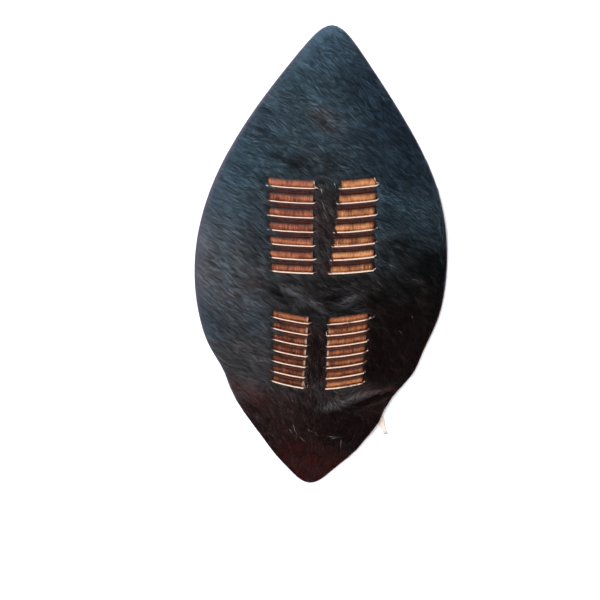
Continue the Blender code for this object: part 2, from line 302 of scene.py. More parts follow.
# The lie of the coat in mm: place, direction of the hair in degrees, length, height of the tips,
# tone from -1, dark, to 1, pale, and warmth from -1, navy, over 0, slate, to 1, maroon
# Tone and the navy and slate hues are partly the coat's own colour, partly painted sheen, paler and bluer where the
# hair faces the light, and painted shade, darker where it faces away
hairGuides = [
    (0, 295, -30, 11, 1.2, 0.75, -0.35), (-25, 255, -20, 14, 1.8, 0.15, -0.05), (30, 252, -40, 13, 1.6, 0.0, -0.5),
    (-60, 215, -14, 15, 2.0, 0.15, 0.05), (0, 215, -20, 15, 2.4, 0.5, 0.1), (62, 212, -40, 14, 1.8, -0.1, -0.75),
    (-92, 165, -14, 17, 2.2, 0.2, 0.0), (-45, 185, -18, 15, 2.4, 0.1, 0.05), (10, 185, -20, 15, 2.8, 0.1, 0.1),
    (60, 180, -36, 15, 2.0, -0.05, -0.3), (100, 160, -45, 15, 1.8, -0.25, -0.6),
    (-112, 100, -15, 20, 2.4, 0.3, 0.1), (-85, 65, -18, 18, 2.4, 0.2, 0.25), (-125, 40, -19, 21, 2.4, 0.7, 0.4),
    (-128, -10, -20, 21, 2.4, 0.6, 0.4), (-90, 0, -20, 19, 2.6, 0.3, 0.35), (-118, -60, -16, 19, 2.4, 0.08, 0.25),
    (-88, -55, -12, 19, 2.6, 0.08, 0.35), (-90, -95, -8, 16, 2.4, 0.22, 0.65), (-70, -130, -8, 15, 2.2, 0.05, 0.75),
    (-100, -125, -15, 15, 2.0, 0.12, 0.75), (0, 110, -40, 13, 1.8, 0.0, 0.6), (0, 60, -40, 13, 1.8, 0.0, 0.6),
    (-40, 12, -28, 20, 2.8, -0.08, 0.5), (0, -5, -30, 18, 2.8, -0.25, 0.55), (32, -8, 35, 14, 2.8, -0.3, 0.6),
    (60, 10, -50, 13, 2.4, -0.25, 0.5), (0, -80, -80, 10, 1.4, -0.25, 0.85), (82, 118, -25, 17, 2.4, 0.0, 0.0),
    (112, 95, -35, 16, 2.0, 0.02, -0.1), (85, 60, -30, 14, 2.4, -0.15, 0.2), (120, 45, -40, 13, 1.8, -0.6, 0.35),
    (92, 5, -38, 13, 2.0, -0.5, 0.5), (115, -20, -50, 11, 1.8, -0.7, 0.65), (80, -50, -60, 10, 1.8, -0.6, 0.75),
    (110, -70, -60, 10, 1.6, -0.95, 0.85), (82, -115, -70, 10, 1.6, -1.0, 0.85), (0, -158, -70, 12, 2.0, 0.0, 0.6),
    (-45, -160, -45, 12, 1.8, -0.1, 0.75), (55, -150, 62, 9, 3.2, 0.35, 0.6), (0, -195, -80, 9, 0.9, -0.35, 0.85),
    (-45, -200, -60, 9, 1.0, -0.2, 0.75), (40, -195, -100, 8, 0.8, -1.0, 0.9), (0, -240, -88, 7, 0.7, -0.05, 1.0),
    (0, -295, -90, 6, 0.6, 0.1, 1.0),
]
# places where the coat is parted, ruffled or worn, with painted shade where tufts lie in shadow and painted sheen where
# they catch the light: place, half length, half width, turn in degrees, and what they add to tone and warmth
coatPatches = [
    (12, 262, 16, 9, 10, -0.3, 0.05), (-2, 247, 18, 5, -30, -0.2, 0.1), (30, 246, 12, 5, -35, -0.2, -0.1),
    (-12, 222, 22, 10, -20, 0.3, 0.35), (-10, 208, 16, 4, -30, -0.2, 0.3), (-38, 226, 14, 4, -25, -0.2, 0.0),
    (-70, 190, 16, 4, -25, -0.35, 0.0), (-38, 166, 13, 8, 10, -0.6, 0.35), (-63, 170, 12, 6, 0, -0.4, 0.1),
    (-92, 148, 18, 4, -20, -0.4, 0.0), (-8, 172, 14, 5, -40, -0.3, 0.2), (36, 190, 12, 5, -35, -0.35, 0.1),
    (68, 176, 14, 5, -35, 0.4, -0.1), (20, 180, 16, 5, -30, 0.25, 0.1), (-78, 128, 16, 7, -25, 0.25, 0.0),
    (-84, 118, 10, 16, 0, -0.3, 0.1), (-88, 62, 12, 26, 10, -0.4, 0.1), (-86, 28, 18, 6, -15, 0.15, 0.0),
    (-92, 14, 12, 8, 0, -0.25, 0.35), (-110, 75, 24, 9, -20, 0.2, 0.0), (-100, -12, 24, 8, -20, 0.15, 0.0),
    (-95, -38, 22, 6, -16, 0.1, 0.0), (-60, 4, 14, 16, 90, -0.5, 0.1), (-28, 2, 28, 4, -34, 0.6, -0.1),
    (-8, -8, 18, 4, -42, 0.45, -0.1), (-14, -14, 10, 8, 0, -0.4, 0.1), (33, 1, 13, 7, 30, 0.45, -0.1),
    (10, 4, 8, 9, 0, -0.5, 0.1), (58, -2, 10, 12, 0, -0.4, 0.1), (95, 120, 34, 10, -22, 0.35, -0.1),
    (104, 100, 22, 5, -30, 0.35, -0.1), (66, 82, 8, 5, -40, 0.4, 0.0), (86, 72, 8, 12, 0, -0.35, 0.1),
    (80, 42, 13, 6, -25, 0.4, 0.0), (112, 19, 8, 3, -28, 0.6, 0.0), (128, 70, 12, 10, -30, 0.25, -0.2),
    (120, 40, 22, 14, 0, -0.3, 0.0), (88, -22, 16, 12, 0, -0.2, 0.15), (-75, -98, 14, 4, -10, 0.3, 0.1),
    (-88, -120, 14, 6, 0, -0.3, 0.1), (-82, -150, 16, 7, -40, 0.3, 0.2), (0, -128, 9, 14, 0, 0.2, -0.1),
    (55, -150, 44, 6, 8, 0.8, -0.1), (20, -158, 18, 7, 0, 0.35, -0.1), (62, -165, 46, 6, 10, -0.5, 0.1),
    (-20, -158, 22, 7, -10, -0.3, 0.0), (-10, -205, 26, 14, 0, 0.15, 0.0), (70, -190, 14, 20, 0, -0.3, 0.2),
    # single pale strands at the waist
    (-52, 15, 9, 1.8, -24, 0.6, 0.0), (-38, 8, 12, 1.8, -26, 0.65, 0.0), (-24, 4, 12, 1.7, -30, 0.65, 0.0),
    (-12, -4, 10, 1.8, -34, 0.65, 0.0), (-32, 15, 10, 1.7, -26, 0.5, 0.0), (-4, -13, 8, 1.8, -42, 0.5, 0.0),
    (24, -3, 8, 1.8, 42, 0.6, 0.0), (33, 2, 8, 1.8, 34, 0.65, 0.0), (43, 6, 6, 1.6, 30, 0.5, 0.0),
    (30, -8, 7, 1.5, 40, 0.45, 0.0),
    # painted highlight along the crease, where the hair ruffles, and painted shade under it
    (18, -157, 5, 3, 0, 0.4, 0.0), (31, -156, 5, 3, 22, 0.45, 0.0), (45, -153, 6, 3, 16, 0.5, 0.0),
    (59, -150, 6, 3, 8, 0.55, 0.0), (74, -147, 7, 3, 12, 0.6, 0.1), (89, -141, 8, 3.5, 10, 1.0, 0.2),
    (40, -167, 24, 3.5, 4, -0.7, 0.0), (78, -157, 18, 3.5, 12, -0.7, 0.1), (-30, -150, 12, 3, -15, 0.4, 0.0),
]


def coatAt(x, y):  # direction, length, tip height, tone and warmth at each place
    total = np.zeros(len(x)) + 1e-9
    sums = np.zeros((6, len(x)))
    for gx, gy, turn, length, height, tone, warmth in hairGuides:
        near = np.exp(-((x - gx * mm) ** 2 + (y - gy * mm) ** 2) / (2 * (22 * mm) ** 2)) + 1e-7
        angle = math.radians(turn)
        total += near
        for k, value in enumerate((math.cos(angle), math.sin(angle), length * mm, height * mm, tone, warmth)):
            sums[k] += near * value
    sums /= total
    turn = np.arctan2(sums[1], sums[0]) + waves(x, y, 21, 40 * mm, 2) * 0.16
    tone = sums[4] + waves(x, y, 22, 30 * mm, 3) * 0.1
    warmth = sums[5] + waves(x, y, 23, 45 * mm, 2) * 0.1
    for px, py, long, wide, lean, addTone, addWarmth in coatPatches:
        c, s = math.cos(math.radians(lean)), math.sin(math.radians(lean))
        u, v = (x - px * mm) * c + (y - py * mm) * s, (y - py * mm) * c - (x - px * mm) * s
        share = np.exp(-(u / (long * mm)) ** 2 - (v / (wide * mm)) ** 2)
        tone += share * addTone
        warmth += share * addWarmth
    # by the rim the hair turns along it, and none crosses it
    far = smoothStep(0.86, 0.99, outward(x, y))
    slope = np.where(x < 0, *[np.interp(y, mapYs, np.gradient(rim, mapping["step"])) for rim in softRim])
    along = np.arctan2(-1.0, -slope)
    outgoing = (np.cos(turn) * np.sign(x) - np.sin(turn) * slope * np.sign(x)) > 0
    gap = (along - turn + math.pi) % (2 * math.pi) - math.pi
    turn = turn + gap * np.where(outgoing, far, 0)
    # maroon is kept for the bottom and the lower right
    low = smoothStep(-120 * mm, -185 * mm, y)
    right = smoothStep(30 * mm, 90 * mm, x) * smoothStep(30 * mm, -30 * mm, y)
    middle = 0.2 * smoothStep(20 * mm, 12 * mm, abs(x)) * smoothStep(25 * mm, 45 * mm, abs(y))
    warmth = np.minimum(warmth, 0.5 + np.maximum(0.5 * np.maximum(low, right), middle))
    return np.cos(turn), np.sin(turn), sums[2], sums[3], tone, warmth


def coatColour(tree, share):  # dark to pale by share: navy, slate, neutral or maroon by the warmth attribute; the pale end and the blue hues hold painted sheen as well as the coat's own colour
    warmth = addNode(tree, "ShaderNodeAttribute", {"attribute_name": "warmth"}).outputs["Fac"]
    place = addNode(tree, "ShaderNodeMapRange", i0=warmth, i1=-1.0, i2=1.0).outputs[0]
    dark = setRamp(addNode(tree, "ShaderNodeValToRGB", Fac=place), coat["dark"])
    pale = setRamp(addNode(tree, "ShaderNodeValToRGB", Fac=place), coat["pale"])
    return addNode(tree, "ShaderNodeMix", colourMix, i0=share, i6=dark, i7=pale).outputs[2]


# the skin: dried cowhide, its cut edges raw and pale
skin = {
    "cuts": 2,                # each side of a facet is cut in three
    "wrinkle": 0.18 * mm,     # uneven drying
    "wallLean": 0.33,         # faces that lean less than this are walls of the cuts
    "rimBand": (0.975, 0.992),  # where the rubbed rim begins and is full
    "lipBefore": 1.2 * mm, "lipAfter": 2.2 * mm,  # a cut's step is measured from below it to above it
    "lipStep": (0.5 * mm, 1.1 * mm),
    "lipDepth": 3.4 * mm,     # a wall this far down no longer counts as the edge that shows
    "paleDepth": 0.9 * mm,    # how far down a cut edge is pale
    "paleShare": ((1.3, 2.4), (0.7, 0.9)),  # of that depth, upper and lower blocks, left and right
    "barTone": 0.5, "barWarmth": 0.85,  # rubbed brown between the rows
    "raw": "#e4c6aa", "rawShade": "#b98a6c", "cutWallBrown": "#6e3d28", "worn": "#5c2e1d",
    "flesh": "#c3a27c", "fleshDark": "#8d6a48", "rim": "#4a4149", "rimLight": "#85707c", "rimWarm": "#6b3f2a",
}


def rimColour(tree, colour):  # warm brown where the coat is maroon
    warmth = addNode(tree, "ShaderNodeAttribute", {"attribute_name": "warmth"}).outputs["Fac"]
    share = addNode(tree, "ShaderNodeMapRange", i0=warmth, i1=0.6, i2=0.9).outputs[0]
    return addNode(tree, "ShaderNodeMix", colourMix, i0=share, i6=colour, i7=linear(skin["rimWarm"])).outputs[2]


def blackHideMaterial():  # hair-on cowhide, worn down to stubble: dull black, brown where it is rubbed
    material, tree, shader = newMaterial("black_hair_on_cowhide")
    place = addNode(tree, "ShaderNodeTexCoord").outputs["Object"]
    patches = addNode(tree, "ShaderNodeTexNoise", Vector=place, Scale=400.0, Detail=3.0)
    stubble = addNode(tree, "ShaderNodeTexNoise", Vector=place, Scale=1400.0, Detail=2.0)  # hairs about 0.7 mm apart
    tone, bare, rim, edge = [
        addNode(tree, "ShaderNodeAttribute", {"attribute_name": key}).outputs["Fac"]
        for key in ("tone", "bare", "rimShare", "rawEdge")
    ]
    # the skin takes the coat's tone, with its painted sheen and shade
    lit = addNode(tree, "ShaderNodeMath", timesPlus, i0=tone, i1=0.4, i2=-0.2).outputs[0]
    share = addNode(tree, "ShaderNodeMath", clampedTimesPlus, i0=patches.outputs["Fac"], i1=0.6, i2=lit).outputs[0]
    colour = coatColour(tree, share)
    colour = addNode(tree, "ShaderNodeMix", colourMix, i0=bare, i6=colour, i7=linear(skin["worn"])).outputs[2]
    # rubbed bare and grey along the rim, pale where the knife went through
    grey = rimColour(tree, linear(skin["rim"]))
    colour = addNode(tree, "ShaderNodeMix", colourMix, i0=rim, i6=colour, i7=grey).outputs[2]
    cut = setRamp(addNode(tree, "ShaderNodeValToRGB", Fac=edge), [(0.72, 0.0), (0.88, 1.0)])
    colour = addNode(tree, "ShaderNodeMix", colourMix, i0=cut, i6=colour, i7=linear(skin["raw"])).outputs[2]
    bump = addNode(tree, "ShaderNodeBump", Height=stubble.outputs["Fac"], Strength=0.5, Distance=0.4 * mm)
    setInputs(
        tree, shader, Base_Color=colour, Normal=bump.outputs["Normal"], Roughness=0.7, Specular_IOR_Level=0.15,
    )
    return material


def rawEdgeMaterial():  # knife-cut rawhide: dry, pale, faintly fibrous
    material, tree, shader = newMaterial("cut_rawhide_edge")
    place = addNode(tree, "ShaderNodeTexCoord").outputs["Object"]
    # fibres about 1 mm long
    fibre = addNode(tree, "ShaderNodeTexNoise", Vector=place, Scale=700.0, Detail=3.0).outputs["Fac"]
    raw = setRamp(addNode(tree, "ShaderNodeValToRGB", Fac=fibre), [(0.3, skin["rawShade"]), (0.55, skin["raw"])])
    edge = addNode(tree, "ShaderNodeAttribute", {"attribute_name": "rawEdge"}).outputs["Fac"]
    share = setRamp(addNode(tree, "ShaderNodeValToRGB", Fac=edge), [(0.25, 0.0), (0.6, 1.0)])
    # a cut wall is pale near its top and dark brown further down
    colour = addNode(tree, "ShaderNodeMix", colourMix, i0=share, i6=linear(skin["cutWallBrown"]), i7=raw).outputs[2]
    bump = addNode(tree, "ShaderNodeBump", Height=fibre, Strength=0.4, Distance=0.3 * mm)
    setInputs(tree, shader, Base_Color=colour, Normal=bump.outputs["Normal"], Roughness=0.62)
    return material


def fleshSideMaterial():  # scraped flesh side of rawhide: hard, tan, blotched, a little glossy
    material, tree, shader = newMaterial("scraped_rawhide_flesh_side")
    place = addNode(tree, "ShaderNodeTexCoord").outputs["Object"]
    blotches = addNode(tree, "ShaderNodeTexNoise", Vector=place, Scale=16.0, Detail=5.0, Roughness=0.6).outputs["Fac"]
    # scraper marks 4 mm apart, along the shield
    scrapes = addNode(tree, "ShaderNodeMapping", Vector=place, Scale=(260.0, 40.0, 120.0)).outputs["Vector"]
    marks = addNode(tree, "ShaderNodeTexNoise", Vector=scrapes, Scale=1.0, Detail=3.0)
    stops = [(0.32, skin["fleshDark"]), (0.6, skin["flesh"])]
    flesh = setRamp(addNode(tree, "ShaderNodeValToRGB", Fac=blotches), stops)
    colour = addNode(tree, "ShaderNodeMix", multiplyMix, i0=0.35, i6=flesh, i7=marks.outputs["Color"]).outputs[2]
    bump = addNode(tree, "ShaderNodeBump", Height=marks.outputs["Fac"], Strength=0.5, Distance=0.5 * mm)
    gloss = setRamp(addNode(tree, "ShaderNodeValToRGB", Fac=blotches), [(0.3, 0.42), (0.7, 0.62)])
    setInputs(tree, shader, Base_Color=colour, Normal=bump.outputs["Normal"], Roughness=gloss)
    return material


def rimMaterial():  # the rim's cut face, dirty and handled: purple grey
    material, tree, shader = newMaterial("handled_rawhide_rim")
    place = addNode(tree, "ShaderNodeTexCoord").outputs["Object"]
    dirt = addNode(tree, "ShaderNodeTexNoise", Vector=place, Scale=120.0, Detail=4.0).outputs["Fac"]
    colour = setRamp(addNode(tree, "ShaderNodeValToRGB", Fac=dirt), [(0.35, skin["rim"]), (0.7, skin["rimLight"])])
    setInputs(tree, shader, Base_Color=rimColour(tree, colour), Roughness=0.7)
    return material


def leanOf(mesh):  # how far each face looks out of the dome: 1 is the haired side, 0 a cut wall, -1 the back
    normals, centres = numbersOf(mesh.polygons, "normal", 3), numbersOf(mesh.polygons, "center", 3)
    return (normals * domeNormal(centres[:, 0], centres[:, 1])).sum(1), normals, centres


def paleEdge(x, y, z):  # pale along the top of a raised bar's cut, dark brown lower down and on the bars that lie low
    before, after = y - skin["lipBefore"], y + skin["lipAfter"]
    wide = softened(heightMap, 20)
    top = heightAt(heightMap, x, before)
    step = top - heightAt(heightMap, x, after) - heightAt(wide, x, before) + heightAt(wide, x, after)
    high, low = (np.where(x > 0, right, left) for left, right in skin["paleShare"])
    pale = skin["paleDepth"] * (1 + 0.4 * waves(x, y, 30, 16 * mm)) * np.where(y > 0, high, low)
    beside = np.zeros(len(x), bool)  # only where the strip dives under it
    r, c = cellsAt(x, y)
    for up in (2, 4, 6):
        for right in range(-7, 8):
            beside |= kindNear(r, c, up, right) > 1
    return smoothStep(*skin["lipStep"], step) * (1 - smoothStep(0, 1.0 * mm, top - z - pale)) * beside


def makeSkin():
    piece = copyOfNode("hide", "hide_skin")
    mesh = piece.data
    for material in (blackHideMaterial(), rawEdgeMaterial(), fleshSideMaterial(), rimMaterial()):
        mesh.materials.append(material)
    lean, normals, centres = leanOf(mesh)
    far = outward(centres[:, 0], centres[:, 1])
    slot = np.where(abs(lean) < skin["wallLean"], 1, np.where(lean < 0, 2, 0))
    slot = np.where((far > skin["rimBand"][0]) & (abs(normals[:, 2]) < 0.35), 3, slot)
    mesh.polygons.foreach_set("material_index", slot.astype(np.int32))
    cutFiner(piece, skin["cuts"])
    faces, points = facesOf(mesh), pointsOf(mesh)
    slots = numbersOf(mesh.polygons, "material_index", 1, np.int32)
    owner = numbersOf(mesh.loop_triangles, "polygon_index", 1, np.int32)
    normals = numbersOf(mesh.polygons, "normal", 3)
    upper = (slots[owner] == 1) & (normals[owner, 1] > 0.3)  # the upper cut of each bar, which the photo shows
    edge = np.zeros(len(points))
    edge[faces[upper].ravel()] = 1
    x, y = points[:, 0], points[:, 1]
    edge *= paleEdge(x, y, points[:, 2])
    tone, warmth = coatAt(x, y)[4:]
    bars = barShare(x, y)
    setAttributes(
        mesh, rawEdge=edge, rimShare=smoothStep(*skin["rimBand"], outward(x, y)), bare=rubbedBare(x, y),
        tone=np.where(bars, skin["barTone"], tone), warmth=np.where(bars, skin["barWarmth"], warmth),
    )
    inside = smoothStep(1.0, 0.93, outward(x, y))
    points[:, 2] += waves(x, y, 4, 22 * mm) * skin["wrinkle"] * inside * smoothStep(0.0, 2 * mm, points[:, 2])
    setPoints(mesh, points)
    bpy.ops.object.shade_smooth_by_angle(angle=math.radians(40))
    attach(piece, "root")
    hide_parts("hide")
    print("skin:", len(faces), "triangles,", int(upper.sum()), "of them upper cut edge")
    return piece


hideSkin = makeSkin()


# the lacing: flat leather strips
lacing = {
    "cuts": 4,
    "ribs": 0.07 * mm,   # height of the fine ribs that run along a strip
    "ribEvery": 1.1 * mm,
    "edgeWobble": 0.22 * mm,
    # dark, middle and light brown of each strip
    "colours": {
        "lacing_upper_left": ("#431b11", "#84452f", "#b06c45"),
        "lacing_upper_right": ("#552814", "#9c5d36", "#c88a58"),
        "lacing_lower_left": ("#36150d", "#6c3623", "#a05e36"),
        "lacing_lower_right": ("#451d0f", "#8c4c2b", "#b87646"),
    },
    # how much more orange and pale each row is, from the top row down
    "rows": {
        "lacing_upper_left": (0.15, 0.2, -0.2, 0.0, -0.2, 0.35, 0.15),
        "lacing_upper_right": (0.15, 0.1, -0.1, 0.2, -0.5, 0.4, -0.35),
        "lacing_lower_left": (0.6, -0.1, -0.1, -0.4, -0.4, -0.3, -0.2),
        "lacing_lower_right": (0.25, -0.1, 0.1, -0.2, -0.2, -0.35, 0.7),
    },
    # painted shade: how dark each strip is under the bar above, and how fast that fades with each cell
    "shade": {
        "lacing_upper_left": 1.65, "lacing_upper_right": 1.5, "lacing_lower_left": 1.45, "lacing_lower_right": 1.3,
    },
    "shadeStep": 0.16, "shadeCells": 11, "underBarShade": "#4a2c26",
    "rowPitch": {"upper": (0.1582, 17.4 * mm), "lower": (-0.0170, 15.9 * mm)},  # upper end of the block, and row to row
    "edgePale": {"upper": 0.15, "lower": 0.75}, "edgeBand": (1.0 * mm, 0.2 * mm), "cutEdge": "#e2c3a6",
    "tail": "#e6d2c4", "tailEnd": "#b9bdb0",
    "tailFrom": (78 * mm, -190 * mm), "tailTo": (94.5 * mm, -222.5 * mm),  # middle of the loose end
    "tailRoot": 66 * mm, "tailTaper": 0.4, "tailWave": 0.9 * mm, "tailAside": 0.6 * mm, "tailLonger": 3.4 * mm,
}


def stripMaterial(name):  # vegetable-tanned cowhide strip: half matte, with fine ribs along it
    material, tree, shader = newMaterial("tanned_leather_" + name)
    place = addNode(tree, "ShaderNodeTexCoord").outputs["Object"]
    # ribs about 1.1 mm apart
    along = addNode(tree, "ShaderNodeMapping", Vector=place, Scale=(900.0, 110.0, 110.0)).outputs["Vector"]
    ribs = addNode(tree, "ShaderNodeTexNoise", Vector=along, Scale=1.0, Detail=3.0).outputs["Fac"]
    stains = addNode(tree, "ShaderNodeTexNoise", Vector=place, Scale=75.0, Detail=4.0).outputs["Fac"]
    rowTone, shade, edge, tail = [
        addNode(tree, "ShaderNodeAttribute", {"attribute_name": key}).outputs["Fac"]
        for key in ("rowTone", "rowShade", "cutEdge", "tail")
    ]
    both = addNode(tree, "ShaderNodeMix", {"data_type": "FLOAT"}, i0=0.45, i2=ribs, i3=stains).outputs[0]
    toned = addNode(tree, "ShaderNodeMath", timesPlus, i0=rowTone, i1=0.16, i2=both).outputs[0]
    browns = list(zip((0.34, 0.49, 0.66), lacing["colours"][name]))
    colour = setRamp(addNode(tree, "ShaderNodeValToRGB", Fac=toned), browns)
    # painted shade: the top of each stretch that shows is darkened under the bar over it
    underBarShade, pale = linear(lacing["underBarShade"]), linear(lacing["cutEdge"])
    colour = addNode(tree, "ShaderNodeMix", multiplyMix, i0=shade, i6=colour, i7=underBarShade).outputs[2]
    colour = addNode(tree, "ShaderNodeMix", colourMix, i0=edge, i6=colour, i7=pale).outputs[2]
    # the loose end is pale, and grey at its tip
    tipShare = setRamp(addNode(tree, "ShaderNodeValToRGB", Fac=tail), [(0.86, 0.0), (0.95, 1.0)])
    tailPale, tipGrey = linear(lacing["tail"]), linear(lacing["tailEnd"])
    loose = addNode(tree, "ShaderNodeMix", colourMix, i0=tipShare, i6=tailPale, i7=tipGrey).outputs[2]
    tailShare = setRamp(addNode(tree, "ShaderNodeValToRGB", Fac=tail), [(0.05, 0.0), (0.2, 1.0)])
    colour = addNode(tree, "ShaderNodeMix", colourMix, i0=tailShare, i6=colour, i7=loose).outputs[2]
    bump = addNode(tree, "ShaderNodeBump", Height=ribs, Strength=0.6, Distance=0.4 * mm)
    rough = setRamp(addNode(tree, "ShaderNodeValToRGB", Fac=stains), [(0.3, 0.42), (0.7, 0.6)])
    setInputs(tree, shader, Base_Color=colour, Normal=bump.outputs["Normal"], Roughness=rough)
    setInputs(tree, shader, Specular_IOR_Level=0.25)  # dry, unwaxed
    return material


def bendTail(points):  # the loose end narrows towards its tip and bends a little
    x, y = points[:, 0], points[:, 1]
    start, stop = np.array(lacing["tailFrom"]), np.array(lacing["tailTo"])
    size = np.hypot(*(stop - start))
    way = (stop - start) / size
    along = ((x - start[0]) * way[0] + (y - start[1]) * way[1]) / size
    aside = (y - start[1]) * way[0] - (x - start[0]) * way[1]
    tail = np.where(x > lacing["tailRoot"], np.clip(0.12 + 0.88 * along, 0, 1), 0)
    near = tail > 0.12
    new = aside * (1 - lacing["tailTaper"] * smoothStep(0.15, 1.0, along))
    new = new + lacing["tailWave"] * np.sin(along * 5.5) * smoothStep(0.1, 0.5, along)
    new = new + lacing["tailAside"] * smoothStep(0.4, 1.0, along)
    longer = lacing["tailLonger"] * smoothStep(0.4, 1.0, along)
    points[near, 0] += (longer * way[0] - (new - aside) * way[1])[near]
    points[near, 1] += (longer * way[1] + (new - aside) * way[0])[near]
    return tail


def makeStrip(name):
    piece = copyOfNode(name, name + "_leather")
    mesh = piece.data
    mesh.materials.append(stripMaterial(name))
    cutFiner(piece, lacing["cuts"])
    points = pointsOf(mesh)
    x, y = points[:, 0], points[:, 1]
    points[:, 2] += waves(x, y / 9, 11, lacing["ribEvery"], 1) * lacing["ribs"]
    points[:, 0] += waves(x / 6, y, 12, 14 * mm, 2) * lacing["edgeWobble"]
    r, c = cellsAt(x, y)
    # painted shade: each strip is darkened under the bar above it, paler further away, on faces that look up
    shade = np.zeros_like(x)
    for k in range(lacing["shadeCells"], 0, -1):  # dark under the bar above, paler away from it
        share = np.clip(lacing["shade"][name] - lacing["shadeStep"] * k, 0, 1)
        shade = np.where(kindNear(r, c, k) == 1, share, shade)
    shade *= smoothStep(-0.1, 0.3, numbersOf(mesh.vertices, "normal", 3)[:, 2])
    hasTail = name == "lacing_lower_right"
    tail = bendTail(points) if hasTail else np.zeros_like(x)
    block = "upper" if "upper" in name else "lower"
    start, pitch = lacing["rowPitch"][block]
    row = np.clip(((start - y) / pitch).astype(int), 0, 6)
    # the strip's own cut edge is pale where it faces the middle of the shield
    side = 1 if "left" in name else -1
    inner = np.array([(side * x[abs(y - at) < 4 * mm]).max() for at in y])
    cutEdge = smoothStep(*lacing["edgeBand"], inner - side * x) * lacing["edgePale"][block]
    if hasTail:
        cutEdge *= (row > 0) & (row < 5)
    setAttributes(mesh, rowShade=shade, tail=tail, cutEdge=cutEdge, rowTone=np.array(lacing["rows"][name])[row])
    setPoints(mesh, points)
    bpy.ops.object.shade_smooth_by_angle(angle=math.radians(35))
    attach(piece, "root")
    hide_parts(name)


for stripName in stripNames:
    makeStrip(stripName)
print("lacing is made")


# the coat: one lock and one straight hair, each modelled once and copied
def modelLock(rings):  # a three-sided spike one unit long, as points (across, up, along) and faces
    bpy.ops.object.select_all(action="DESELECT")
    bpy.ops.mesh.primitive_circle_add(vertices=3, radius=0.5, fill_type="NGON", location=(0, 0, 0))
    lock = bpy.context.object
    bpy.ops.object.mode_set(mode="EDIT")
    bpy.ops.mesh.select_all(action="SELECT")
    width, reached = 1.0, 0.0
    for place, size in rings:
        bpy.ops.mesh.extrude_region_move(TRANSFORM_OT_translate={"value": (0, 0, place - reached)})
        bpy.ops.transform.resize(value=(size / width, size / width, 1))
        width, reached = size, place
    bpy.ops.mesh.extrude_region_move(TRANSFORM_OT_translate={"value": (0, 0, 1 - reached)})
    bpy.ops.mesh.merge(type="CENTER")
    bpy.ops.mesh.select_all(action="SELECT")
    bpy.ops.mesh.quads_convert_to_tris()
    bpy.ops.mesh.normals_make_consistent(inside=False)
    bpy.ops.object.mode_set(mode="OBJECT")
    points, faces = pointsOf(lock.data), facesOf(lock.data)
    bpy.data.objects.remove(lock)
    return points, faces


bentLock = modelLock([(0.45, 0.8)])
straightHair = modelLock([])


def cornersOf(lock):  # where each corner of the lock's faces lies in the lock's own cell of the texture map
    points, faces = lock
    turn = np.arctan2(points[:, 1], points[:, 0]) / (2 * math.pi / 3)
    first = turn[np.argmin(points[:, 2])]
    corners = np.zeros((len(faces), 3, 2))
    for k, face in enumerate(faces):
        along = points[face, 2]
        if along.max() < 1e-6:  # the hidden root
            corners[k] = [(0.05, 0), (0.95, 0), (0.5, 0.08)]
            continue
        place = (turn[face] - first) % 3
        rim = np.hypot(points[face, 0], points[face, 1]) > 1e-6
        low, high = place[rim].min(), place[rim].max()
        if high - low > 1.5:  # the side that closes the round
            place = np.where(place < 1.5, place + 3, place)
            low, high = place[rim].min(), place[rim].max()
        place = np.where(rim, place, (low + high) / 2)
        corners[k, :, 0] = place / 3
        corners[k, :, 1] = 0.1 + 0.9 * along
    return corners


def edgeMap():  # cells close to a pale cut edge, which no hair crosses
    mesh = hideSkin.data
    marked = np.zeros(kindMap.shape, bool)
    shown = pointsOf(mesh)[numbersOf(mesh.attributes["rawEdge"].data, "value") > 0.5]
    top = heightAt(heightMap, shown[:, 0], shown[:, 1])
    shown = shown[shown[:, 2] > top - skin["lipDepth"]]
    r, c = cellsAt(shown[:, 0], shown[:, 1])
    marked[r, c] = True
    return marked


lipMap = edgeMap()


def widened(marked, cells):
    wide = marked.copy()
    for dr in range(-cells, cells + 1):
        for dc in range(-cells, cells + 1):
            wide |= np.roll(np.roll(marked, dr, 0), dc, 1)
    return wide


wideLip = widened(lipMap, 1)


def scatter(random, spacing, halfWide, halfLong):  # places at an even density
    x, y = np.meshgrid(np.arange(-halfWide, halfWide, spacing), np.arange(-halfLong, halfLong, spacing))
    x = x.ravel() + random.uniform(-0.5, 0.5, x.size) * spacing
    y = y.ravel() + random.uniform(-0.5, 0.5, y.size) * spacing
    return x, y


def makeTufts(random):
    x, y = scatter(random, coat["tuftEvery"], 0.156, 0.318)
    tree = KDTree(len(x))
    for k, (a, b) in enumerate(zip(x, y)):
        tree.insert((a, b, 0), k)
    tree.balance()
    dirX, dirY, length = coatAt(x, y)[:3]
    count = len(x)
    return {
        "x": x, "y": y, "tree": tree,
        "turn": np.arctan2(dirY, dirX) + random.normal(0, coat["tuftTurn"], count),
        "length": length * random.uniform(0.8, 1.2, count),
        "height": random.uniform(0.7, 1.4, count),
        "tone": random.normal(0, coat["tuftTone"], count),
    }


